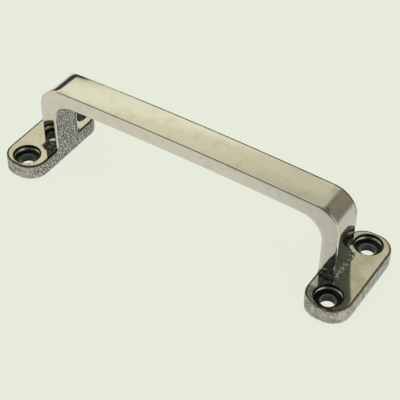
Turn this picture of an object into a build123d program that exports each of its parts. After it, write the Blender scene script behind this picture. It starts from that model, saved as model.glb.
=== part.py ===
from build123d import *

import math
import os

# Bridge pull handle, cast in one piece and polished. A flat bar, crowned a little along its length, turns
# down through rounded corners into two legs. Each leg stands on the inner edge of an oblong foot that lies
# across the bar and holds two counterbored screw holes, one on either side of the leg.
# Millimetres, +X along the bar, +Y across it, +Z up. The origin is on the ground under the middle.

# Overall
OVERALL_LENGTH = 140.0

# Feet
FOOT_WIDTH = 16.3
FOOT_LENGTH = 40.0
FOOT_THICKNESS = 5.6
FOOT_CORNER_RADIUS = 7.0

# Screw holes, for M5 screws with cylindrical or pan heads
HOLE_PITCH_Y = 27.5
BORE_DIAMETER = 5.5
COUNTERBORE_DIAMETER = 9.5
COUNTERBORE_DEPTH = 2.3
RIM_ROUND = 0.5

# Bridge. The shoulder height is where the bar's top would meet the legs' outer faces at square corners.
LEG_THICKNESS = 6.0
BAR_THICKNESS = 6.0
BAR_WIDTH = 12.4
SHOULDER_HEIGHT = 33.2
CROWN_RISE = 1.15
OUTER_CORNER_RADIUS = 9.0
INNER_CORNER_RADIUS = 8.7

# Edges: round the outside of the bridge, and round the finger opening and over both feet
OUTER_EDGE_ROUND = 0.6
INNER_EDGE_ROUND = 0.6

# Casting fillet where each leg meets its foot
ROOT_FILLET = 1.1

# How far a cutting tool reaches past the face that it cuts
REACH = 1.0

# Faces that turn by less than this where they meet, in degrees, count as one smooth surface
SMOOTH_ANGLE = 1.0

# Places that follow from the sizes above
FOOT_CENTRE_X = (OVERALL_LENGTH - FOOT_WIDTH) / 2
LEG_INNER_X = OVERALL_LENGTH / 2 - FOOT_WIDTH
LEG_OUTER_X = LEG_INNER_X + LEG_THICKNESS
CROWN_RADIUS = (LEG_OUTER_X**2 + CROWN_RISE**2) / (2 * CROWN_RISE)
CROWN_CENTRE_Z = SHOULDER_HEIGHT + CROWN_RISE - CROWN_RADIUS
UNDERSIDE_RADIUS = CROWN_RADIUS - BAR_THICKNESS


def arch_face(half_span, crown_radius, corner_radius):
    """The region under an arch: straight sides, a crowned top, and a tangent arc at each corner."""
    centre_x = half_span - corner_radius
    centre_reach = crown_radius - corner_radius
    centre_z = CROWN_CENTRE_Z + math.sqrt(centre_reach**2 - centre_x**2)
    lean = math.asin(centre_x / centre_reach)
    halfway = (math.pi / 2 + lean) / 2
    side_end = Vector(half_span, centre_z)
    corner_middle = Vector(
        centre_x + corner_radius * math.sin(halfway),
        centre_z + corner_radius * math.cos(halfway),
    )
    crown_end = Vector(
        crown_radius * math.sin(lean),
        CROWN_CENTRE_Z + crown_radius * math.cos(lean),
    )
    ground = Line((-half_span, 0), (half_span, 0))
    side = Line((half_span, 0), side_end)
    corner = ThreePointArc(side_end, corner_middle, crown_end)
    crown = ThreePointArc(crown_end, (0, CROWN_CENTRE_Z + crown_radius), (-crown_end.X, crown_end.Y))
    other_end = [mirror(curve, Plane.YZ) for curve in (side, corner)]
    return Plane.XZ * make_face([ground, side, corner, crown, *other_end])


def sharp_edges(solid):
    """The edges off the ground where two faces meet at an angle."""
    found = []
    for edge in solid.edges():
        middle = edge @ 0.5
        normals = [face.normal_at(middle) for face in solid.faces() if edge in face.edges()]
        on_ground = edge.bounding_box().max.Z < FOOT_THICKNESS / 2
        if not on_ground and normals[0].get_angle(normals[-1]) > SMOOTH_ANGLE:
            found.append(edge)
    return found


def bridge():
    """The crowned bar and its two legs, down to the ground, with their outer edges rounded."""
    block = extrude(arch_face(LEG_OUTER_X, CROWN_RADIUS, OUTER_CORNER_RADIUS), BAR_WIDTH / 2, both=True)
    block = fillet(sharp_edges(block), OUTER_EDGE_ROUND)
    opening = arch_face(LEG_INNER_X, UNDERSIDE_RADIUS, INNER_CORNER_RADIUS)
    return block - extrude(opening, BAR_WIDTH / 2 + REACH, both=True)


def foot(centre_x):
    """One oblong foot, standing on the ground across the bar."""
    outline = Pos(centre_x) * RectangleRounded(FOOT_WIDTH, FOOT_LENGTH, FOOT_CORNER_RADIUS)
    return extrude(outline, FOOT_THICKNESS)


def screw_hole():
    """The space of one counterbored screw hole with a rounded rim, open above and below."""
    bore = BORE_DIAMETER / 2
    counterbore = COUNTERBORE_DIAMETER / 2
    mouth = counterbore + RIM_ROUND
    ledge = FOOT_THICKNESS - COUNTERBORE_DEPTH
    above = FOOT_THICKNESS + REACH
    middle_side = Polyline((mouth, above), (0, above), (0, -REACH), (bore, -REACH), (bore, ledge))
    ledge_side = Polyline((bore, ledge), (counterbore, ledge), (counterbore, FOOT_THICKNESS - RIM_ROUND))
    rim = CenterArc((mouth, FOOT_THICKNESS - RIM_ROUND), RIM_ROUND, 180, -90)
    mouth_side = Line((mouth, FOOT_THICKNESS), (mouth, above))
    return revolve(Plane.XZ * make_face([middle_side, ledge_side, rim, mouth_side]), Axis.Z)


def handle():
    """The whole casting: the bridge and both feet in one, with its edges rounded and its four screw holes."""
    arch = bridge()
    feet = [foot(-FOOT_CENTRE_X), foot(FOOT_CENTRE_X)]
    casting = arch + feet
    casting = fillet(new_edges(arch, *feet, combined=casting), ROOT_FILLET)
    casting = fillet(sharp_edges(casting), INNER_EDGE_ROUND)
    return casting - GridLocations(2 * FOOT_CENTRE_X, HOLE_PITCH_Y, 2, 2) * screw_hole()


os.makedirs("parts", exist_ok=True)
export_step(handle(), "parts/bridge_handle.step")
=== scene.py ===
import math

import bpy
import numpy as np
from mathutils import Matrix, Vector, noise
from mathutils.geometry import delaunay_2d_cdt


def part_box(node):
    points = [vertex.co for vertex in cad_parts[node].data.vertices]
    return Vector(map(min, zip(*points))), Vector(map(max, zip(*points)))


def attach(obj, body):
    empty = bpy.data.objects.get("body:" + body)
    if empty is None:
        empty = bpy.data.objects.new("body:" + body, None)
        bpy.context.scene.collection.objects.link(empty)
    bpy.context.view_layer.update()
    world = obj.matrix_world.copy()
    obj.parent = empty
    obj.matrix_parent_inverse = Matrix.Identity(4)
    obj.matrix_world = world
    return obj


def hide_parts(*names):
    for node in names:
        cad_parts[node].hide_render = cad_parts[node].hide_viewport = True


# A bridge pull handle, cast in one piece. The top, front and back of the bar, the outsides of the legs and
# the tops of the feet are polished. The inside of the bridge, the sides of the feet and the fillets round the
# legs keep the grain of the casting. One quarter is built and mirrored, and the grain is pressed in all over.
# The shape's lengths are in millimetres until the mesh is made; Blender's own values are in metres.

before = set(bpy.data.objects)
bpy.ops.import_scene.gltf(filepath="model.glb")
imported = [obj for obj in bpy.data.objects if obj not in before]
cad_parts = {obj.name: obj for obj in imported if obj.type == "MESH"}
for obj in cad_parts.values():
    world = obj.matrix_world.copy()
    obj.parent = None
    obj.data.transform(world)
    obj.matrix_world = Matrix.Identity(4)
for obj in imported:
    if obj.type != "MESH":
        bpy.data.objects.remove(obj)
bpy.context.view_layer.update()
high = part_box("bridge_handle")[1]

MM = 0.001

# Sizes of the casting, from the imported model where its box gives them
HALF_LENGTH = high.x / MM
FOOT_HALF_LENGTH = high.y / MM
TOP = high.z / MM
FOOT_WIDTH = 16.3
FOOT_THICKNESS = 5.6
FOOT_CORNER_RADIUS = 7.0
LEG_THICKNESS = 6.0
LEG_INNER_X = HALF_LENGTH - FOOT_WIDTH
LEG_OUTER_X = LEG_INNER_X + LEG_THICKNESS
BAR_HALF_WIDTH = 6.2
BAR_THICKNESS = 6.0
CROWN_RISE = 1.15
OUTER_CORNER_RADIUS = 9.0
INNER_CORNER_RADIUS = 8.7
OUTER_EDGE_ROUND = 0.6
INNER_EDGE_ROUND = 0.6
ROOT_FILLET = 1.1
CROWN_RADIUS = (LEG_OUTER_X**2 + CROWN_RISE**2) / (2 * CROWN_RISE)
CROWN_CENTRE_Z = TOP - CROWN_RADIUS
LEG_FOOT_Z = FOOT_THICKNESS + ROOT_FILLET

# Screw holes
HOLE_X = HALF_LENGTH - FOOT_WIDTH / 2
HOLE_Y = 13.75
BORE_RADIUS = 2.75
COUNTERBORE_RADIUS = 4.75
LEDGE_Z = FOOT_THICKNESS - 2.3
RIM_ROUND = 0.5

# Spacing of the mesh's points: on grained faces, along polished faces, across the front and round the bends.
# Then how many steps the outer and inner edge rounds, the feet's sides and the screw holes take.
GRAIN_STEP = 0.25
POLISHED_STEP = 1.6
FRONT_STEP = 0.32
CORNER_STEP = 0.35
ROUND_STEPS = 6
EDGE_STEPS = 6
WALL_ROWS = 22
HOLE_ROWS = 8
HOLE_STEPS = 96

# Points are joined where they agree to this many parts of a millimetre
WELD_PER_MM = 1e4

# The casting's skin: how deep its grain goes, how high the lumps at the legs' bases stand, how wide the dark
# line of painted shade is, and how wide the polished band is that the bar's edge leaves on the inner faces
GRAIN_DEPTH = 0.20
FILLET_DEPTH = 0.30
LUMP_HEIGHT = 1.7
SHADE_LINE_WIDTH = 0.45
POLISHED_BAND = 0.35

# Buffing dubs a polished face off towards its edges: how far its shading turns there, and how wide. It also
# leaves the bar's top a little convex across and the feet's tops a little dished.
EDGE_DUB = math.radians(6.0)
FRONT_DUB = math.radians(2.5)
DUB_WIDTH = 1.2
TOP_CONVEXITY = math.radians(1.5)
FOOT_TOP_LEAN = math.radians(3.2)

# Where a screw hole's rim, wall, ledge and bore end, as shares of the way down its section
RIM_END, WALL_END, LEDGE_END, BORE_END = 0.2, 0.5, 0.75, 1.0

# How far the machined wall's shading leans up from level at half height, in degrees, as its turning marks do
WALL_LEAN = 44.0


def steps(length, step):
    """How many steps of about this size a length holds."""
    return max(1, round(length / step))


def unit(vectors):
    """The vectors at length 1."""
    return vectors / np.linalg.norm(vectors, axis=-1, keepdims=True)


# ---------------------------------------------------------------- curves of the quarter with x > 0 and y > 0


def arch(half_span, crown_radius, corner_radius, straight_step, corner_step):
    """Points (x, z) and outward normals of an arch, from the bar's middle to the top of the leg's fillet."""
    centre_x = half_span - corner_radius
    reach = crown_radius - corner_radius
    centre_z = CROWN_CENTRE_Z + math.sqrt(reach**2 - centre_x**2)
    lean = math.asin(centre_x / reach)
    crown = np.linspace(0, lean, steps(crown_radius * lean, straight_step) + 1)
    bend_length = corner_radius * (math.pi / 2 - lean)
    bend = np.linspace(lean, math.pi / 2, steps(bend_length, corner_step) + 1)[1:]
    leg = np.linspace(centre_z, LEG_FOOT_Z, steps(centre_z - LEG_FOOT_Z, straight_step) + 1)[1:]
    crown_points = [
        (crown_radius * math.sin(a), CROWN_CENTRE_Z + crown_radius * math.cos(a)) for a in crown
    ]
    bend_points = [
        (centre_x + corner_radius * math.sin(a), centre_z + corner_radius * math.cos(a)) for a in bend
    ]
    leg_points = [(half_span, z) for z in leg]
    angles = np.concatenate([crown, bend, np.full(len(leg), math.pi / 2)])
    normals = np.stack([np.sin(angles), np.cos(angles)], axis=-1)
    return np.array(crown_points + bend_points + leg_points), normals


def foot_outline():
    """Points (x, y) and outward normals round the foot, from the leg's fillet to the middle outside."""
    y_corner = FOOT_HALF_LENGTH - FOOT_CORNER_RADIUS
    x_near = LEG_INNER_X + FOOT_CORNER_RADIUS
    x_far = HALF_LENGTH - FOOT_CORNER_RADIUS
    start = BAR_HALF_WIDTH + ROOT_FILLET
    radius = FOOT_CORNER_RADIUS
    arc = np.linspace(0, math.pi / 2, steps(radius * math.pi / 2, GRAIN_STEP) + 1)
    points, normals = [], []
    for y in np.linspace(start, y_corner, steps(y_corner - start, GRAIN_STEP) + 1)[:-1]:
        points.append((LEG_INNER_X, y))
        normals.append((-1, 0))
    for a in arc:
        points.append((x_near - radius * math.cos(a), y_corner + radius * math.sin(a)))
        normals.append((-math.cos(a), math.sin(a)))
    for x in np.linspace(x_near, x_far, steps(x_far - x_near, GRAIN_STEP) + 1)[1:-1]:
        points.append((x, FOOT_HALF_LENGTH))
        normals.append((0, 1))
    for a in arc:
        points.append((x_far + radius * math.sin(a), y_corner + radius * math.cos(a)))
        normals.append((math.sin(a), math.cos(a)))
    for y in np.linspace(y_corner, 0, steps(y_corner, GRAIN_STEP) + 1)[1:]:
        points.append((HALF_LENGTH, y))
        normals.append((1, 0))
    return np.array(points), np.array(normals)


def along(curve, y):
    """An (x, z) curve as points at one y."""
    return np.insert(curve, 1, y, axis=-1)


inner_curve, inner_normals = arch(
    LEG_INNER_X, CROWN_RADIUS - BAR_THICKNESS, INNER_CORNER_RADIUS, GRAIN_STEP, GRAIN_STEP
)
outer_curve, outer_normals = arch(
    LEG_OUTER_X, CROWN_RADIUS, OUTER_CORNER_RADIUS, POLISHED_STEP, CORNER_STEP
)
outline, outline_normals = foot_outline()
fillet_steps = steps((ROOT_FILLET + INNER_EDGE_ROUND) * math.pi / 2, GRAIN_STEP)
fillet_angles = np.linspace(0, math.pi / 2, fillet_steps + 1)


# ---------------------------------------------------------------- patches


patches = []

# What each patch point carries: cast is 1 on the skin of the casting and 0 where it is polished, grainy is 1
# on its roughest faces, depth is how deep the grain goes and lump how high the fillet's lumps stand,
# soil is painted shade and painted dark reflection: the dark line beside polished edges, shade under
# the bar and in the fillets' creases; back_soil is the same painted line on the back of the handle
# only, rim_soil the same round the feet, and hole rises from 0 to 1 down a screw hole's section.
FINISHES = ("cast", "grainy", "depth", "lump", "soil", "back_soil", "rim_soil", "hole")

# Faces of one group shade as one surface
SKIN, LEDGE, BORE, GROUND = range(4)
GROUPS = 4


def patch(points, normals, faces, group, **finish):
    """Keeps one patch of surface, with what its points carry."""
    columns = [
        np.broadcast_to(np.asarray(finish.get(key, 0.0), float), (len(points),)) for key in FINISHES
    ]
    patches.append((points, normals, faces, group, *columns))


def grid(points, normals, group, **finish):
    """A patch from rows and columns of points."""
    rows, columns = points.shape[:2]
    index = np.arange(rows * columns).reshape(rows, columns)
    quads = np.stack([index[:-1, :-1], index[1:, :-1], index[1:, 1:], index[:-1, 1:]], axis=-1)
    quads = quads.reshape(-1, 4)
    values = {key: np.broadcast_to(value, (rows, columns)).reshape(-1) for key, value in finish.items()}
    flat = np.broadcast_to(normals, points.shape).reshape(-1, 3)
    facing = np.cross(points[1, 0] - points[0, 0], points[0, 1] - points[0, 0]) @ flat[0]
    if facing < 0:
        quads = quads[:, ::-1]
    patch(points.reshape(-1, 3), flat, [tuple(q) for q in quads], group, **values)


def web(flat_points, points, normals, loops, group, **finish):
    """A patch of triangles between closed loops, laid out flat. The first loop is the outer one."""
    edges = [(a, b) for loop in loops for a, b in zip(loop, loop[1:] + loop[:1])]
    flat_vectors = [Vector(p) for p in flat_points]
    _, _, triangles, kept, _, _ = delaunay_2d_cdt(flat_vectors, edges, [], 4, 1e-7)
    kept = [k[0] for k in kept]
    faces = []
    for triangle in triangles:
        face = [kept[i] for i in triangle]
        in_hole = all(i >= len(loops[0]) for i in face)
        if in_hole:
            continue
        a, b, c = (points[i] for i in face)
        if np.cross(b - a, c - a) @ normals[face[0]] < 0:
            face.reverse()
        faces.append(tuple(face))
    patch(points, normals, faces, group, **finish)


def ring(closed_points):
    """A list of loop indices for points in order."""
    return list(range(len(closed_points)))


def edge_chain():
    """The sharp edge that the inner edge round follows: points, and the normals of the faces that meet."""
    y = np.array([0.0, 1.0, 0.0])
    arch_points = along(inner_curve, BAR_HALF_WIDTH)
    arch_faces = -along(inner_normals, 0.0)
    arch_sides = np.broadcast_to(y, arch_points.shape)
    c, s = np.cos(fillet_angles[1:]), np.sin(fillet_angles[1:])
    zero = np.zeros_like(c)
    fillet_points = np.stack(
        [
            np.full_like(c, LEG_INNER_X),
            BAR_HALF_WIDTH + ROOT_FILLET * (1 - c),
            FOOT_THICKNESS + ROOT_FILLET * (1 - s),
        ],
        axis=-1,
    )
    fillet_faces = np.broadcast_to(np.array([-1.0, 0.0, 0.0]), fillet_points.shape)
    fillet_sides = np.stack([zero, c, s], axis=-1)
    rim = np.column_stack([outline[1:], np.full(len(outline) - 1, FOOT_THICKNESS)])
    rim_faces = np.column_stack([outline_normals[1:], np.zeros(len(outline) - 1)])
    rim_sides = np.broadcast_to(np.array([0.0, 0.0, 1.0]), rim.shape)
    return (
        np.concatenate([arch_points, fillet_points, rim]),
        np.concatenate([arch_faces, fillet_faces, rim_faces]),
        np.concatenate([arch_sides, fillet_sides, rim_sides]),
    )


chain, chain_faces, chain_sides = edge_chain()
ARCH_END = len(inner_curve) - 1
FILLET_END = ARCH_END + len(fillet_angles) - 1
chain_low = chain - INNER_EDGE_ROUND * chain_sides
chain_high = chain - INNER_EDGE_ROUND * chain_faces


def inner_stations():
    """Places across the inner faces: close together on the rough skin, then two for the polished band."""
    edge_y = BAR_HALF_WIDTH - INNER_EDGE_ROUND
    rough_y = edge_y - POLISHED_BAND
    rough = np.linspace(0, rough_y, steps(rough_y, GRAIN_STEP) + 1)
    return np.append(rough, [edge_y - POLISHED_BAND / 2, edge_y])


def inner_faces():
    """The underside of the bar, the inner side of the leg, and below it the foot's side to the ground."""
    across = inner_stations()
    from_edge = across[-1] - across
    cast = np.clip((from_edge - POLISHED_BAND / 2) / (POLISHED_BAND / 2), 0, 1)
    points = np.stack([along(inner_curve, y) for y in across], axis=1)
    normals = np.stack([-along(inner_normals, 0.0)] * len(across), axis=1)
    # Painted shade: a dark line beside the polished band, shade under the bar, and a dark band in the bend
    beside_edge = np.clip(1 - np.abs(from_edge - POLISHED_BAND) / SHADE_LINE_WIDTH, 0, 1)
    up = inner_normals[:, 1:]
    in_bend = 0.85 * np.clip(1 - np.abs(up - 0.62) / 0.27, 0, 1)
    soil = np.maximum(beside_edge, np.maximum(0.55 * up**2, in_bend))
    grid(points, normals, SKIN, cast=cast, grainy=1.0, depth=cast * GRAIN_DEPTH, soil=soil)
    heights = np.linspace(LEG_FOOT_Z, 0, WALL_ROWS + 1)
    z, y = np.meshgrid(heights, across, indexing="ij")
    points = np.stack([np.full_like(y, LEG_INNER_X), y, z], axis=-1)
    grid(points, np.array([-1.0, 0.0, 0.0]), SKIN, cast=1.0, grainy=1.0, depth=GRAIN_DEPTH)


def wall_grain(faces):
    """How grainy the foot's side is: all of it on the inner side, little round the ends and outside."""
    return np.clip(-0.2 - 1.3 * faces[:, 0], 0.08, 1.0)


def side_walls():
    """The foot's side from the leg's fillet round to the outside, from the edge round down to the ground."""
    top = chain_low[ARCH_END:]
    share = np.linspace(1, 0, WALL_ROWS + 1)
    points = np.repeat(top[None], len(share), axis=0)
    points[..., 2] *= share[:, None]
    normals = np.broadcast_to(chain_faces[ARCH_END:], points.shape)
    grainy = wall_grain(chain_faces[ARCH_END:])
    # Painted shade: a dark line just under the foot's top edge
    rim_soil = 0.6 * np.clip(1 - (top[:, 2] - points[..., 2]) / SHADE_LINE_WIDTH, 0, 1)
    depth = GRAIN_DEPTH * (0.35 + 0.65 * grainy)
    grid(points, normals, SKIN, cast=1.0, grainy=grainy, depth=depth, rim_soil=rim_soil)


def inner_edge_round():
    """The round along the finger opening, down the leg, over its fillet and round the foot's top."""
    turned = np.linspace(0, 1, EDGE_STEPS + 1)[:, None]
    angles = (turned * math.pi / 2)[:, :, None]
    on_foot = np.arange(len(chain)) > ARCH_END
    shaded = angles - np.where(on_foot, 0.0, FRONT_DUB)[:, None] * turned[:, :, None]
    centre = chain - INNER_EDGE_ROUND * (chain_faces + chain_sides)
    points = centre + INNER_EDGE_ROUND * (chain_faces * np.cos(angles) + chain_sides * np.sin(angles))
    normals = chain_faces * np.cos(shaded) + chain_sides * np.sin(shaded)
    grainy = np.ones(len(chain))
    grainy[ARCH_END:] = wall_grain(chain_faces[ARCH_END:])
    cast = np.where(on_foot, np.clip(1 - turned * 1.6, 0, 1), 0)
    # Painted dark reflection and shade: a line along the foot's edge round, and shade on the round under the
    # bar
    line_start = np.where(chain_faces[:, 0] > 0.5, 0.3, 0.15)
    rim_soil = np.where(on_foot, np.clip((turned - line_start) * 3, 0, 1), 0)
    under_bar = np.clip(-chain_faces[:, 2], 0, 1) ** 2
    soil = np.where(on_foot, 0, 0.9 * under_bar * np.sqrt(1 - turned))
    depth = cast * GRAIN_DEPTH * 0.5
    grid(points, normals, SKIN, cast=cast, grainy=grainy, depth=depth, soil=soil, rim_soil=rim_soil)


def front_steps():
    """How many steps the mesh takes across the leg's front."""
    return steps(LEG_OUTER_X - LEG_INNER_X - OUTER_EDGE_ROUND - INNER_EDGE_ROUND, FRONT_STEP)


def dubbed(normals, side, inset, dub):
    """Normals of a polished face, turned towards its edge by buffing, at a distance inset from that edge."""
    turn = dub * np.clip(1 - inset / DUB_WIDTH, 0, 1) ** 2
    return normals * np.cos(turn) + side * np.sin(turn)


def front_face():
    """The polished flat face of the bar and leg: a strip along each edge round and a web between them."""
    step = (LEG_OUTER_X - LEG_INNER_X - OUTER_EDGE_ROUND - INNER_EDGE_ROUND) / front_steps()
    insets = step * np.arange(round(DUB_WIDTH / step) + 1)
    ahead = np.array([0.0, 1.0, 0.0])
    strips = []
    for curve, away, edge_round in (
        (inner_curve, inner_normals, INNER_EDGE_ROUND),
        (outer_curve, -outer_normals, OUTER_EDGE_ROUND),
    ):
        strip = np.stack([along(curve + (edge_round + inset) * away, BAR_HALF_WIDTH) for inset in insets])
        normals = np.stack([dubbed(ahead, -along(away, 0.0), inset, FRONT_DUB) for inset in insets])
        grid(strip, normals, SKIN)
        strips.append(strip)
    inner, outer = strips[0][-1], strips[1][-1]
    bottom_x = np.linspace(inner[-1][0], outer[-1][0], front_steps() - 2 * (len(insets) - 1) + 1)[1:-1]
    bottom = along(np.column_stack([bottom_x, np.full_like(bottom_x, LEG_FOOT_Z)]), BAR_HALF_WIDTH)
    points = np.concatenate([inner, bottom, outer[::-1]])
    web(points[:, [0, 2]], points, np.broadcast_to(ahead, points.shape), [ring(points)], SKIN)


def side_stations():
    """Places across the outer faces, from the edge round to the middle."""
    return np.linspace(BAR_HALF_WIDTH - OUTER_EDGE_ROUND, 0, steps(BAR_HALF_WIDTH, GRAIN_STEP) + 1)


def outer_edge_round():
    """The round along the bar's upper edge and down the leg's outer edge."""
    turned = np.linspace(0, 1, ROUND_STEPS + 1)[:, None, None]
    angles = turned * math.pi / 2
    shaded = FRONT_DUB + turned * (math.pi / 2 - FRONT_DUB - EDGE_DUB)
    out = along(outer_normals, 0.0)
    side = np.broadcast_to(np.array([0.0, 1.0, 0.0]), out.shape)
    edge = along(outer_curve, BAR_HALF_WIDTH)
    centre = edge - OUTER_EDGE_ROUND * (out + side)
    points = centre + OUTER_EDGE_ROUND * (side * np.cos(angles) + out * np.sin(angles))
    normals = side * np.cos(shaded) + out * np.sin(shaded)
    # A painted dark reflection along the round's upper part, which dark_lines keeps on the back only
    grid(points, normals, SKIN, back_soil=np.clip(3 * turned[:, :, 0] - 0.6, 0, 1))


def outer_face():
    """The polished top of the bar, a little convex across, the outer bend and the outside of the leg."""
    stations = side_stations()
    out = along(outer_normals, 0.0)
    side = np.array([0.0, 1.0, 0.0])
    points = np.stack([along(outer_curve, y) for y in stations])
    crowned = TOP_CONVEXITY * stations[:, None, None] / stations[0] * outer_normals[:, 1:] ** 30
    flat = np.clip((LEG_OUTER_X - OUTER_CORNER_RADIUS - outer_curve[:, :1]) / 5, 0, 1)
    inset = 0.6 * (stations[0] - stations)[:, None, None]
    normals = dubbed(out, side, inset, EDGE_DUB) * (1 - flat) + out * flat
    normals = unit(normals + side * np.tan(crowned))
    # A painted dark reflection along the top's edge, which dark_lines keeps on the back only
    back_soil = np.clip(1.3 - (stations[0] - stations) / 0.35, 0, 1)[:, None]
    grid(points, normals, SKIN, back_soil=back_soil)


def leg_base():
    """Points (x, y) and normals round the base of the leg, from its inner edge to the middle outside."""
    front_start, front_end = LEG_INNER_X + INNER_EDGE_ROUND, LEG_OUTER_X - OUTER_EDGE_ROUND
    front_x = np.linspace(front_start, front_end, front_steps() + 1)
    corner = np.linspace(0, math.pi / 2, ROUND_STEPS + 1)[1:-1]
    centre = np.array([LEG_OUTER_X - OUTER_EDGE_ROUND, BAR_HALF_WIDTH - OUTER_EDGE_ROUND])
    corner_normals = np.stack([np.sin(corner), np.cos(corner)], axis=-1)
    sides = side_stations()
    points = np.concatenate(
        [
            [(x, BAR_HALF_WIDTH) for x in front_x],
            centre + OUTER_EDGE_ROUND * corner_normals,
            [(LEG_OUTER_X, y) for y in sides],
        ]
    )
    normals = np.concatenate(
        [
            np.tile([0.0, 1.0], (len(front_x), 1)),
            corner_normals,
            np.tile([1.0, 0.0], (len(sides), 1)),
        ]
    )
    return points, normals


def root_fillet():
    """The casting fillet round the leg. It returns the points where it runs out on the foot's top."""
    base, base_normals = leg_base()
    t = fillet_angles[:, None, None]
    spread = base + ROOT_FILLET * (1 - np.cos(t)) * base_normals
    heights = np.broadcast_to(FOOT_THICKNESS + ROOT_FILLET * (1 - np.sin(t)), (*spread.shape[:2], 1))
    points = np.concatenate([spread, heights], axis=-1)
    up = np.broadcast_to(np.sin(t), (*spread.shape[:2], 1))
    normals = np.concatenate([base_normals * np.cos(t), up], axis=-1)
    belly = np.sin(2 * fillet_angles)[:, None]
    cast = np.clip(2.2 * np.sqrt(belly), 0, 1)
    # Painted shade: dark lines in the creases at the fillet's two edges, and over the fillet, strongest
    # across the leg's front and back
    across_leg = np.clip(base_normals[:, 1] * 1.4, 0.12, 1)
    edges = np.clip(1.3 - 2 * belly, 0, 1) * (belly > 0.01)
    soil = np.maximum(edges, 0.75 * across_leg)
    depth, lump = belly * FILLET_DEPTH, belly * across_leg
    grid(points, normals, SKIN, cast=cast, grainy=1.0, depth=depth, lump=lump, soil=soil)
    return spread[-1]


def circle(radius):
    """Points (x, y) round the screw hole's axis."""
    angles = np.linspace(0, 2 * math.pi, HOLE_STEPS, endpoint=False)
    return np.stack([HOLE_X + radius * np.cos(angles), HOLE_Y + radius * np.sin(angles)], axis=-1)


def foot_top_normals(points):
    """Normals of the foot's top, which buffing leaves a little dished towards its outer side."""
    lean = FOOT_TOP_LEAN * (points[..., :1] - LEG_INNER_X) / FOOT_WIDTH
    return unit(np.concatenate([-np.tan(lean), np.zeros_like(lean), np.ones_like(lean)], axis=-1))


def foot_top(fillet_boundary):
    """The polished top of the foot: a strip along its edge, which holds the painted dark line, and a web
    inside.
    """
    step = fillet_boundary[1, 0] - fillet_boundary[0, 0]
    rim = chain_high[FILLET_END:]
    inner = rim - step * np.column_stack([outline_normals, np.zeros(len(rim))])
    strip = np.stack([rim, inner])
    # A painted dark line of shade and reflection along the foot's top edge
    grid(strip, foot_top_normals(strip), SKIN, rim_soil=np.array([[2.4], [0.3]]))
    hole = circle(COUNTERBORE_RADIUS + RIM_ROUND)
    boundary = np.concatenate([inner[:, :2], fillet_boundary[:1:-1]])
    flat = np.concatenate([boundary, hole])
    points = np.column_stack([flat, np.full(len(flat), FOOT_THICKNESS)])
    loops = [ring(boundary), list(range(len(boundary), len(flat)))]
    web(flat, points, foot_top_normals(points), loops, SKIN)


def underside():
    """The foot's flat underside, round the clear hole."""
    start = [(LEG_INNER_X, y) for y in inner_stations()[:-1]]
    boundary = np.concatenate([start, chain_low[ARCH_END:, :2]])
    flat = np.concatenate([boundary, circle(BORE_RADIUS)])
    points = np.column_stack([flat, np.zeros(len(flat))])
    loops = [ring(boundary), list(range(len(boundary), len(flat)))]
    down = np.broadcast_to(np.array([0.0, 0.0, -1.0]), points.shape)
    web(flat, points, down, loops, GROUND, cast=1.0, grainy=0.3)


def revolved(profile, profile_normals, group, start, end):
    """A patch round the screw hole, from (radius, z) points down its section from one share to another."""
    angles = np.linspace(0, 2 * math.pi, HOLE_STEPS + 1)
    c, s = np.cos(angles)[:, None], np.sin(angles)[:, None]
    radius, z = profile[:, 0], profile[:, 1]
    size = (len(angles), len(profile))
    points = np.stack([HOLE_X + radius * c, HOLE_Y + radius * s, np.broadcast_to(z, size)], axis=-1)
    out, up = profile_normals[:, 0], profile_normals[:, 1]
    normals = np.stack([out * c, out * s, np.broadcast_to(up, size)], axis=-1)
    grid(points, normals, group, hole=np.linspace(start, end, len(profile)))


def screw_hole():
    """The counterbored hole: its rounded rim, turned wall, flat ledge and clear hole."""
    turned = np.linspace(0, math.pi / 2, EDGE_STEPS + 1)
    rim_normals = np.stack([-np.sin(turned), np.cos(turned)], axis=-1)
    rim = np.array([COUNTERBORE_RADIUS + RIM_ROUND, FOOT_THICKNESS - RIM_ROUND]) + RIM_ROUND * rim_normals
    revolved(rim, rim_normals, SKIN, 0, RIM_END)
    wall_z = np.linspace(FOOT_THICKNESS - RIM_ROUND, LEDGE_Z, HOLE_ROWS + 1)
    wall = np.stack([np.full_like(wall_z, COUNTERBORE_RADIUS), wall_z], axis=-1)
    lean = np.radians(WALL_LEAN) * np.sin(np.linspace(0.3, math.pi, len(wall)))
    revolved(wall, np.stack([-np.cos(lean), np.sin(lean)], axis=-1), SKIN, RIM_END, WALL_END)
    ledge_r = np.linspace(COUNTERBORE_RADIUS, BORE_RADIUS, HOLE_ROWS + 1)
    ledge = np.stack([ledge_r, np.full_like(ledge_r, LEDGE_Z)], axis=-1)
    revolved(ledge, np.tile([0.0, 1.0], (len(ledge), 1)), LEDGE, WALL_END, LEDGE_END)
    bore_z = np.linspace(LEDGE_Z, 0, HOLE_ROWS + 1)
    bore = np.stack([np.full_like(bore_z, BORE_RADIUS), bore_z], axis=-1)
    revolved(bore, np.tile([-1.0, 0.0], (len(bore), 1)), BORE, LEDGE_END, BORE_END)


# ---------------------------------------------------------------- the whole mesh


def mirrored_corners():
    """All four quarters: points, normals, groups, what the points carry, and faces as lists of numbers."""
    columns = [[] for _ in range(3 + len(FINISHES))]
    faces = []
    offset = 0
    for sx, sy in ((1, 1), (-1, 1), (-1, -1), (1, -1)):
        flip = sx * sy < 0
        for points, normals, patch_faces, group, *finish in patches:
            turn = np.array([sx, sy, 1.0])
            rows = (points * turn, normals * turn, np.full(len(points), group), *finish)
            for column, values in zip(columns, rows):
                column.append(values)
            for face in patch_faces:
                corners = [offset + i for i in face]
                faces.append(corners[::-1] if flip else corners)
            offset += len(points)
    return [np.concatenate(c) for c in columns], faces


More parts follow.
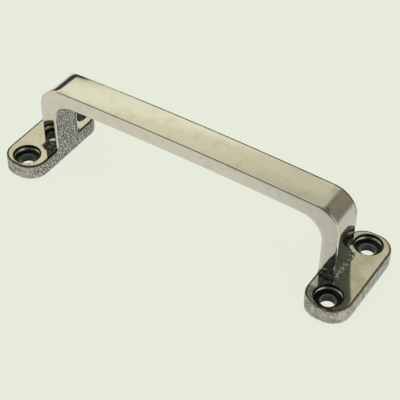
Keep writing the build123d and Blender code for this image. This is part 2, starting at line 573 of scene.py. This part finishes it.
def pressed_grain(point, grainy):
    """How far the casting's grain is pressed in at a point, from 0 to 1."""
    fine = noise.noise(point * 2.1)
    middle = noise.noise(point * 1.1 + Vector((31.0, 7.0, 3.0)))
    coarse = noise.noise(point * 0.45 + Vector((5.0, 41.0, 11.0)))
    rough, even = 0.8 * fine + 0.4 * middle, 0.25 * fine + 0.45 * middle + 0.6 * coarse
    height = grainy * rough + (1 - grainy) * even
    return min(1.0, max(0.0, 0.45 - 0.9 * height))


# Where the noise is read that makes the lumps wind, for each axis
SWIRL_PLACES = Vector((40.0, 29.0, 9.0)), Vector((9.0, 1.0, 56.0)), Vector((1.0, 14.0, 50.0))


def fillet_lump(point):
    """How high the lumps left by the mould's joint stand at a point, from 0 to 1."""
    swirl = Vector([noise.noise(point * 0.5 + place) for place in SWIRL_PLACES]) * 0.8
    heap = 0.3 + 0.9 * noise.noise(point * 0.7 + swirl + Vector((2.0, 9.0, 4.0)))
    ridge = 1 - 3.5 * abs(noise.noise(point * 1.05 + swirl + Vector((8.0, 1.0, 6.0))))
    return min(1.0, max(0.0, 0.6 * heap + 0.5 * max(0.0, ridge)))


def largest(values, joined, count):
    """The largest value that the patches give each joined point."""
    most = np.zeros(count)
    np.maximum.at(most, joined, values)
    return most


def skin_directions(normals, depth, joined, count):
    """The way in which each joined point moves: the normal of the patch with the deepest grain there."""
    order = np.argsort(depth, kind="stable")
    direction = np.zeros((count, 3))
    direction[joined[order]] = normals[order]
    return direction


def dark_lines(place, most):
    """Darkness of the painted shade by the edges: thinner along the back's left end and round the right foot.
    """
    on_back = (place[:, 1] > 0) * np.clip(1.4 + place[:, 0] / 50, 0.68, 1)
    on_rims = np.where(place[:, 0] < 0, 1.0, 0.62)
    return np.max([most["soil"], most["back_soil"] * on_back, most["rim_soil"] * on_rims], axis=0)


def face_normals(corners, sizes):
    """Each face's normal, as long as twice its area, from its corners in order."""
    starts = np.concatenate([[0], np.cumsum(sizes)[:-1]])
    a, b = corners[starts], corners[starts + 1]
    c, last = corners[starts + 2], corners[starts + sizes - 1]
    return np.where((sizes == 3)[:, None], np.cross(b - a, c - a), np.cross(c - a, last - b))


def shading_normals(place, corners, groups, sizes, exact, cast):
    """The exact normals on polished faces, and those of the pressed surface where there is grain."""
    shared = corners * GROUPS + groups
    summed = np.zeros((len(place) * GROUPS, 3))
    np.add.at(summed, shared, np.repeat(face_normals(place[corners], sizes), sizes, axis=0))
    pressed = unit(summed[shared] + 1e-12)
    weight = np.clip(cast * 1.5, 0, 1)[:, None]
    return unit(exact * (1 - weight) + pressed * weight)


def build_mesh(name):
    """The whole casting as one mesh, with its grain, its lumps and what the material reads."""
    (points, normals, group, *finish), faces = mirrored_corners()
    finish = dict(zip(FINISHES, finish))
    keys = np.round(points * WELD_PER_MM).astype(np.int64)
    _, first, joined = np.unique(keys, axis=0, return_index=True, return_inverse=True)
    joined = joined.reshape(-1)
    count = len(first)
    place = points[first]
    most = {key: largest(values, joined, count) for key, values in finish.items()}
    most["soil"] = dark_lines(place, most)

    press, lump = np.zeros(count), np.zeros(count)
    for i in np.nonzero(most["depth"] > 0)[0]:
        press[i] = pressed_grain(Vector(place[i]), most["grainy"][i])
    for i in np.nonzero(most["lump"] > 0)[0]:
        lump[i] = fillet_lump(Vector(place[i]))
    rise = LUMP_HEIGHT * most["lump"] * lump - most["depth"] * press
    place = place + skin_directions(normals, finish["depth"], joined, count) * rise[:, None]
    worn = np.clip(6.0 * lump * most["lump"] - 3.2, 0, 1)
    # The lumps' worn crests lose the painted shade, and their casting skin
    most["soil"] *= 1 - worn
    most["cast"] *= 1 - worn

    mesh = bpy.data.meshes.new(name)
    mesh.from_pydata((place * MM).tolist(), [], [[int(joined[i]) for i in face] for face in faces])
    mesh.validate(verbose=False)
    corner = np.concatenate([np.array(face) for face in faces])
    sizes = np.array([len(face) for face in faces])
    shading = shading_normals(
        place, joined[corner], group[corner].astype(int), sizes, normals[corner], finish["cast"][corner]
    )
    mesh.shade_smooth()
    mesh.normals_split_custom_set(shading.tolist())

    for label, values, domain in (
        ("cast", most["cast"], "POINT"),
        ("grainy", most["grainy"], "POINT"),
        ("soil", most["soil"], "POINT"),
        ("pressed", press, "POINT"),
        ("hole", finish["hole"][corner], "CORNER"),
    ):
        layer = mesh.attributes.new(label, "FLOAT", domain)
        layer.data.foreach_set("value", values.astype(np.float32))
    return mesh


def build_handle():
    """Lays out one quarter's patches and makes the whole handle of them."""
    inner_faces()
    side_walls()
    inner_edge_round()
    front_face()
    outer_edge_round()
    outer_face()
    foot_top(root_fillet())
    underside()
    screw_hole()
    handle = bpy.data.objects.new("bridge_handle_casting", build_mesh("bridge_handle_casting"))
    bpy.context.scene.collection.objects.link(handle)
    return handle


# ---------------------------------------------------------------- materials


class Nodes:
    """Short ways to add and join the nodes of one material or world."""

    def __init__(self, tree):
        self.tree = tree
        self.tree.nodes.clear()

    def add(self, kind, inputs=None, **settings):
        """A node, with its settings and what its inputs hold or are joined to."""
        node = self.tree.nodes.new(kind)
        for key, value in settings.items():
            setattr(node, key, value)
        for key, value in (inputs or {}).items():
            self.put(node.inputs[key], value)
        return node

    def put(self, socket, value):
        """Joins an output to an input, or sets the input's own value."""
        if isinstance(value, bpy.types.NodeSocket):
            self.tree.links.new(value, socket)
        else:
            socket.default_value = value

    def math(self, operation, *values):
        """The result of one sum, product or function."""
        node = self.add("ShaderNodeMath", operation=operation)
        for socket, value in zip(node.inputs, values):
            self.put(socket, value)
        return node.outputs[0]

    def mix(self, factor, a, b):
        """A colour between a and b."""
        node = self.add("ShaderNodeMix", data_type="RGBA")
        self.put(node.inputs["Factor"], factor)
        self.put(node.inputs[6], a)
        self.put(node.inputs[7], b)
        return node.outputs[2]

    def blend(self, factor, a, b):
        """A number between a and b."""
        node = self.add("ShaderNodeMix", data_type="FLOAT")
        self.put(node.inputs["Factor"], factor)
        self.put(node.inputs[2], a)
        self.put(node.inputs[3], b)
        return node.outputs[0]

    def ramp(self, value, start, end, low=0.0, high=1.0):
        """Rises smoothly from low to high as value goes from start to end."""
        inputs = {"Value": value, "From Min": start, "From Max": end, "To Min": low, "To Max": high}
        node = self.add("ShaderNodeMapRange", inputs, interpolation_type="SMOOTHSTEP")
        return node.outputs["Result"]

    def colours(self, value, stops):
        """A colour ramp from (place, colour) stops."""
        node = self.add("ShaderNodeValToRGB", {"Fac": value})
        elements = node.color_ramp.elements
        for _ in stops[2:]:
            elements.new(0.5)
        for element, (position, colour) in zip(elements, stops):
            element.position = position
            element.color = colour
        return node.outputs["Color"]

    def noise(self, place, scale, detail=2.0, roughness=0.5):
        """Smooth noise from 0 to 1, with scale features to the metre."""
        inputs = {"Vector": place, "Scale": scale, "Detail": detail, "Roughness": roughness}
        return self.add("ShaderNodeTexNoise", inputs).outputs["Fac"]


# Polished metal, with clouds, stains, the foot's wear and its pits
POLISHED_TONES = (0.69, 0.675, 0.62, 1), (0.73, 0.715, 0.655, 1)
STAIN = (0.60, 0.55, 0.47, 1)
WORN_FOOT = (0.49, 0.465, 0.40, 1)
PIT = (0.15, 0.14, 0.12, 1)

# The skin of the casting: even faces, rough faces, painted shade in the grain's hollows, and the painted
# shade of the dark lines beside polished edges, under the bar and in the fillets' creases
EVEN_TONES = (0.33, 0.325, 0.295, 1), (0.66, 0.65, 0.60, 1)
ROUGH_TONES = (0.06, 0.06, 0.058, 1), (0.74, 0.74, 0.71, 1)
HOLLOW_SHADE = (0.13, 0.13, 0.115, 1)
PAINTED_SHADE_COLOUR = (0.045, 0.046, 0.036, 1)

# Down a screw hole's section, painted light and shade: a rim painted black as a dark reflection, a bright
# wall, a ledge painted black as shade with a painted highlight on its edge, and a bore painted dark as shade
HOLE_LIGHT_AND_SHADE = (
    (0.0, (0.08, 0.08, 0.072, 1)),
    (0.08, (0.03, 0.03, 0.028, 1)),
    (0.26, (0.03, 0.03, 0.028, 1)),
    (0.30, (0.58, 0.59, 0.57, 1)),
    (0.46, (0.50, 0.51, 0.50, 1)),
    (0.49, (0.04, 0.042, 0.04, 1)),
    (0.70, (0.025, 0.027, 0.027, 1)),
    (0.745, (0.17, 0.18, 0.18, 1)),
    (0.79, (0.045, 0.052, 0.06, 1)),
    (0.99, (0.02, 0.023, 0.028, 1)),
)

# The paper that the handle stands on
PAPER_TONES = (0.79, 0.82, 0.70, 1), (0.82, 0.85, 0.73, 1)


def polished_colour(n, place, clouds):
    """Pale nickel-coloured metal with faint clouds and stains, duller and pitted on the feet's tops."""
    stains = n.noise(place, 260.0, 4.0, 0.6)
    colour = n.mix(clouds, *POLISHED_TONES)
    colour = n.mix(n.ramp(stains, 0.48, 0.72, 0.0, 0.6), colour, STAIN)
    x, _, z = n.add("ShaderNodeSeparateXYZ", {"Vector": place}).outputs
    near_foot = n.ramp(z, 0.0085, 0.0060)
    on_foot = n.math("MULTIPLY", near_foot, n.ramp(x, -0.05, 0.05, 0.12, 1.0))
    worn = n.ramp(n.noise(place, 180.0, 3.0, 0.6), 0.35, 0.7, 0.35, 1.0)
    colour = n.mix(n.math("MULTIPLY", on_foot, worn), colour, WORN_FOOT)
    pits = n.math("MULTIPLY", n.ramp(n.noise(place, 1100.0, 0.0), 0.76, 0.82, 0.0, 0.7), near_foot)
    return n.mix(pits, colour, PIT)


def cast_colour(n, place, speck, grainy, pressed):
    """The casting's skin: mottled on its even faces, speckled on its rough ones, with painted shade in its
    hollows.
    """
    blotch = n.noise(place, 500.0, 3.0, 0.6)
    even = n.mix(n.ramp(blotch, 0.35, 0.65), *EVEN_TONES)
    rough = n.mix(n.ramp(speck, 0.43, 0.59), *ROUGH_TONES)
    # Painted shade in the hollows: the deeper the grain is pressed, the darker
    hollows = n.math("MULTIPLY", n.ramp(pressed, 0.5, 1.0), 0.6)
    return n.mix(hollows, n.mix(grainy, even, rough), HOLLOW_SHADE)


def cast_metal_material():
    """Polished metal, with the casting's grain, and painted light and shade in its dark lines, hollows and
    screw holes, where the mesh says so.
    """
    material = bpy.data.materials.new("cast_metal_finish")
    material.use_nodes = True
    n = Nodes(material.node_tree)
    place = n.add("ShaderNodeTexCoord").outputs["Object"]
    cast_value, grainy, painted_shade_value, hole, pressed = (
        n.add("ShaderNodeAttribute", attribute_name=name).outputs["Fac"]
        for name in ("cast", "grainy", "soil", "hole", "pressed")
    )
    ragged = n.math("SUBTRACT", n.noise(place, 700.0, 3.0, 0.6), 0.5)
    cast = n.ramp(n.math("ADD", cast_value, n.math("MULTIPLY", ragged, 0.5)), 0.35, 0.6)
    soil = n.ramp(n.math("ADD", painted_shade_value, n.math("MULTIPLY", ragged, 0.9)), 0.3, 0.9)
    clouds = n.noise(place, 60.0, 3.0)
    speck = n.noise(place, 1900.0, 2.0, 0.6)

    colour = n.mix(cast, polished_colour(n, place, clouds), cast_colour(n, place, speck, grainy, pressed))
    # Painted shade and painted dark reflection: the dark lines beside the edges, under the bar and in the
    # fillets
    colour = n.mix(n.math("MULTIPLY", soil, 0.93), colour, PAINTED_SHADE_COLOUR)
    # The screw holes' painted light and shade, down their section
    colour = n.mix(n.ramp(hole, 0.005, 0.03), colour, n.colours(hole, HOLE_LIGHT_AND_SHADE))

    polished_roughness = n.ramp(clouds, 0.2, 0.8, 0.05, 0.10)
    roughness = n.blend(cast, polished_roughness, n.ramp(speck, 0.2, 0.8, 0.28, 0.5))
    roughness = n.blend(n.ramp(hole, RIM_END - 0.04, RIM_END), roughness, 0.28)

    grain = n.math("MULTIPLY", n.noise(place, 1900.0, 3.0, 0.65), cast)
    bump = n.add("ShaderNodeBump", {"Strength": 0.8, "Distance": 0.00015, "Height": grain}).outputs[0]
    waves = n.math("MULTIPLY", n.noise(place, 110.0, 2.0), 0.35)
    wave_inputs = {"Strength": 0.35, "Distance": 0.00003, "Height": waves, "Normal": bump}
    normal = n.add("ShaderNodeBump", wave_inputs).outputs[0]

    metal = {"Base Color": colour, "Metallic": 1.0, "Roughness": roughness, "Normal": normal}
    shader = n.add("ShaderNodeBsdfPrincipled", metal)
    n.add("ShaderNodeOutputMaterial", {"Surface": shader.outputs[0]})
    return material


def floor_material():
    """Pale matt paper, seen only from above."""
    material = bpy.data.materials.new("pale_floor")
    material.use_nodes = True
    n = Nodes(material.node_tree)
    place = n.add("ShaderNodeTexCoord").outputs["Object"]
    tone = n.mix(n.noise(place, 3.0, 2.0), *PAPER_TONES)
    paper = n.add("ShaderNodeBsdfDiffuse", {"Color": tone})
    glow = n.add("ShaderNodeEmission", {"Color": tone})
    lit = n.add("ShaderNodeMixShader", {0: 0.94, 1: paper.outputs[0], 2: glow.outputs[0]})
    clear = n.add("ShaderNodeBsdfTransparent")
    below = n.add("ShaderNodeNewGeometry").outputs["Backfacing"]
    both = n.add("ShaderNodeMixShader", {0: below, 1: lit.outputs[0], 2: clear.outputs[0]})
    n.add("ShaderNodeOutputMaterial", {"Surface": both.outputs[0]})
    return material


# ---------------------------------------------------------------- floor, light and camera


# The floor's half width and how far it lies under the handle, in metres
FLOOR_HALF = 3.0
FLOOR_GAP = 0.00002


def build_floor():
    """The paper under the handle, a hair below it. The metal mirrors the studio's paper in its place."""
    corners = [(FLOOR_HALF * x, FLOOR_HALF * y, 0) for x, y in ((-1, -1), (1, -1), (1, 1), (-1, 1))]
    mesh = bpy.data.meshes.new("floor")
    mesh.from_pydata(corners, [], [(0, 1, 2, 3)])
    floor = bpy.data.objects.new("floor", mesh)
    floor.location.z = -FLOOR_GAP
    mesh.materials.append(floor_material())
    bpy.context.scene.collection.objects.link(floor)
    floor.visible_glossy = False


# What the metal mirrors: the room above the horizon and the paper below it, and where one turns to the other
ROOM = (0.26, 0.245, 0.185, 1)
PAPER = (0.79, 0.78, 0.675, 1)
HORIZON = math.sin(math.radians(-10)), math.sin(math.radians(4))

# The cards of the studio, each over those before it: colour, then azimuth, elevation, half width, half height
# and the softness of both, in degrees. Azimuth 0 is +Y, behind the handle, and 90 is +X.
STUDIO_CARDS = (
    # A pale panel on the right, the dark side where the photographer stands, and a pale panel on the left
    ((0.72, 0.72, 0.64, 1), (90, 20, 28, 26, 10, 10)),
    ((0.05, 0.055, 0.055, 1), (156, 22, 28, 32, 12, 10)),
    ((0.70, 0.70, 0.60, 1), (-110, 20, 30, 26, 12, 10)),
    # The large warm panel behind and to the left, that the bar's top mirrors, brightest low down
    ((0.60, 0.60, 0.46, 1), (-14, 52, 24, 20, 12, 5)),
    ((0.90, 0.87, 0.70, 1), (-85, 62, 46, 16, 12, 4)),
    ((0.86, 0.81, 0.61, 1), (-75, 33, 52, 12.5, 14, 3)),
    ((1.02, 1.02, 0.80, 1), (-75, 28, 54, 11.5, 10, 1.5)),
    ((0.58, 0.57, 0.445, 1), (-27, 51.6, 9, 6, 5, 1.2)),
    # The dim part behind and to the right, with two dark strips, that the right bend and foot mirror
    ((0.28, 0.255, 0.18, 1), (38, 50, 22, 18, 12, 5)),
    ((0.12, 0.14, 0.117, 1), (49, 48.4, 25, 5, 0.5, 0.4)),
    ((0.12, 0.14, 0.117, 1), (20.7, 50, 3.7, 4.1, 0.5, 0.3)),
    # A dark strip under the warm panel, and the bright edge of the paper, that the left bend mirrors
    ((0.05, 0.055, 0.05, 1), (-62, 22.5, 30, 10, 5, 3)),
    ((0.97, 0.98, 0.90, 1), (-65, -5, 40, 13, 12, 4)),
    # Dark strips high in front and to the left, that the screw holes mirror
    ((0.08, 0.085, 0.08, 1), (-140, 39, 22, 10, 8, 4)),
    ((0.04, 0.045, 0.045, 1), (-165, 45, 12, 12, 6, 4)),
)

# The same for the paper below
PAPER_CARDS = (
    ((0.59, 0.60, 0.53, 1), (-174, -45, 21, 60, 6, 10)),
    ((1.00, 1.02, 0.95, 1), (-52, -45, 26, 60, 10, 10)),
    ((0.24, 0.23, 0.19, 1), (-98, -36, 13, 16, 8, 8)),
    ((0.67, 0.67, 0.61, 1), (38, -30, 32, 45, 12, 10)),
)


def card(n, direction, azimuth, elevation, half_width, half_height, soft_width, soft_height):
    """A soft-edged card as a mask: 1 where a direction meets it and 0 elsewhere."""
    turn_inputs = {"Vector": direction, "Angle": math.radians(azimuth)}
    turn = n.add("ShaderNodeVectorRotate", turn_inputs, rotation_type="Z_AXIS").outputs[0]
    x, y, z = n.add("ShaderNodeSeparateXYZ", {"Vector": turn}).outputs
    aside = n.math("ABSOLUTE", n.math("ARCTAN2", x, y))
    rise = n.math("ABSOLUTE", n.math("SUBTRACT", n.math("ARCSINE", z), math.radians(elevation)))
    wide = n.ramp(aside, math.radians(half_width + soft_width), math.radians(half_width - soft_width))
    tall = n.ramp(rise, math.radians(half_height + soft_height), math.radians(half_height - soft_height))
    return n.math("MULTIPLY", wide, tall)


def build_world():
    """Even white light, but in reflections a dim room with soft cards over pale paper."""
    world = bpy.data.worlds.new("soft_studio")
    world.use_nodes = True
    bpy.context.scene.world = world
    n = Nodes(world.node_tree)
    direction = n.add("ShaderNodeTexCoord").outputs["Generated"]
    height = n.add("ShaderNodeSeparateXYZ", {"Vector": direction}).outputs[2]
    room, paper = ROOM, PAPER
    for colour, place in STUDIO_CARDS:
        room = n.mix(card(n, direction, *place), room, colour)
    for colour, place in PAPER_CARDS:
        paper = n.mix(card(n, direction, *place), paper, colour)
    studio = n.mix(n.ramp(height, *HORIZON), paper, room)
    is_glossy = n.add("ShaderNodeLightPath").outputs["Is Glossy Ray"]
    colour = n.mix(is_glossy, (1.0, 1.0, 1.0, 1), studio)
    light = n.add("ShaderNodeBackground", {"Color": colour, "Strength": 1.0})
    n.add("ShaderNodeOutputWorld", {"Surface": light.outputs[0]})


# The camera: where it stands in metres, how it is turned in degrees, and its lens in millimetres
CAMERA_PLACE = (0.16841, -0.25419, 0.29254)
CAMERA_AZIMUTH = 32.95
CAMERA_ELEVATION = 43.37
CAMERA_ROLL = 0.51
CAMERA_LENS = 108.6
CAMERA_SENSOR = 36.0
CAMERA_CLIP = 0.01, 20.0


def build_camera():
    """The photograph's view: from the front right, looking down, with a long lens."""
    azimuth, elevation = math.radians(CAMERA_AZIMUTH), math.radians(CAMERA_ELEVATION)
    data = bpy.data.cameras.new("camera")
    data.lens = CAMERA_LENS
    data.sensor_width = CAMERA_SENSOR
    data.clip_start, data.clip_end = CAMERA_CLIP
    camera = bpy.data.objects.new("camera", data)
    level = math.cos(elevation)
    back = Vector((math.sin(azimuth) * level, -math.cos(azimuth) * level, math.sin(elevation)))
    turn = (-back).to_track_quat("-Z", "Y").to_matrix().to_4x4()
    turn = turn @ Matrix.Rotation(math.radians(CAMERA_ROLL), 4, "Z")
    camera.matrix_world = Matrix.Translation(CAMERA_PLACE) @ turn
    bpy.context.scene.collection.objects.link(camera)
    bpy.context.scene.camera = camera


handle = build_handle()
handle.data.materials.append(cast_metal_material())
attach(handle, "root")
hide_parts("bridge_handle")

build_floor()
build_world()
build_camera()
bpy.context.scene.view_settings.view_transform = "Standard"
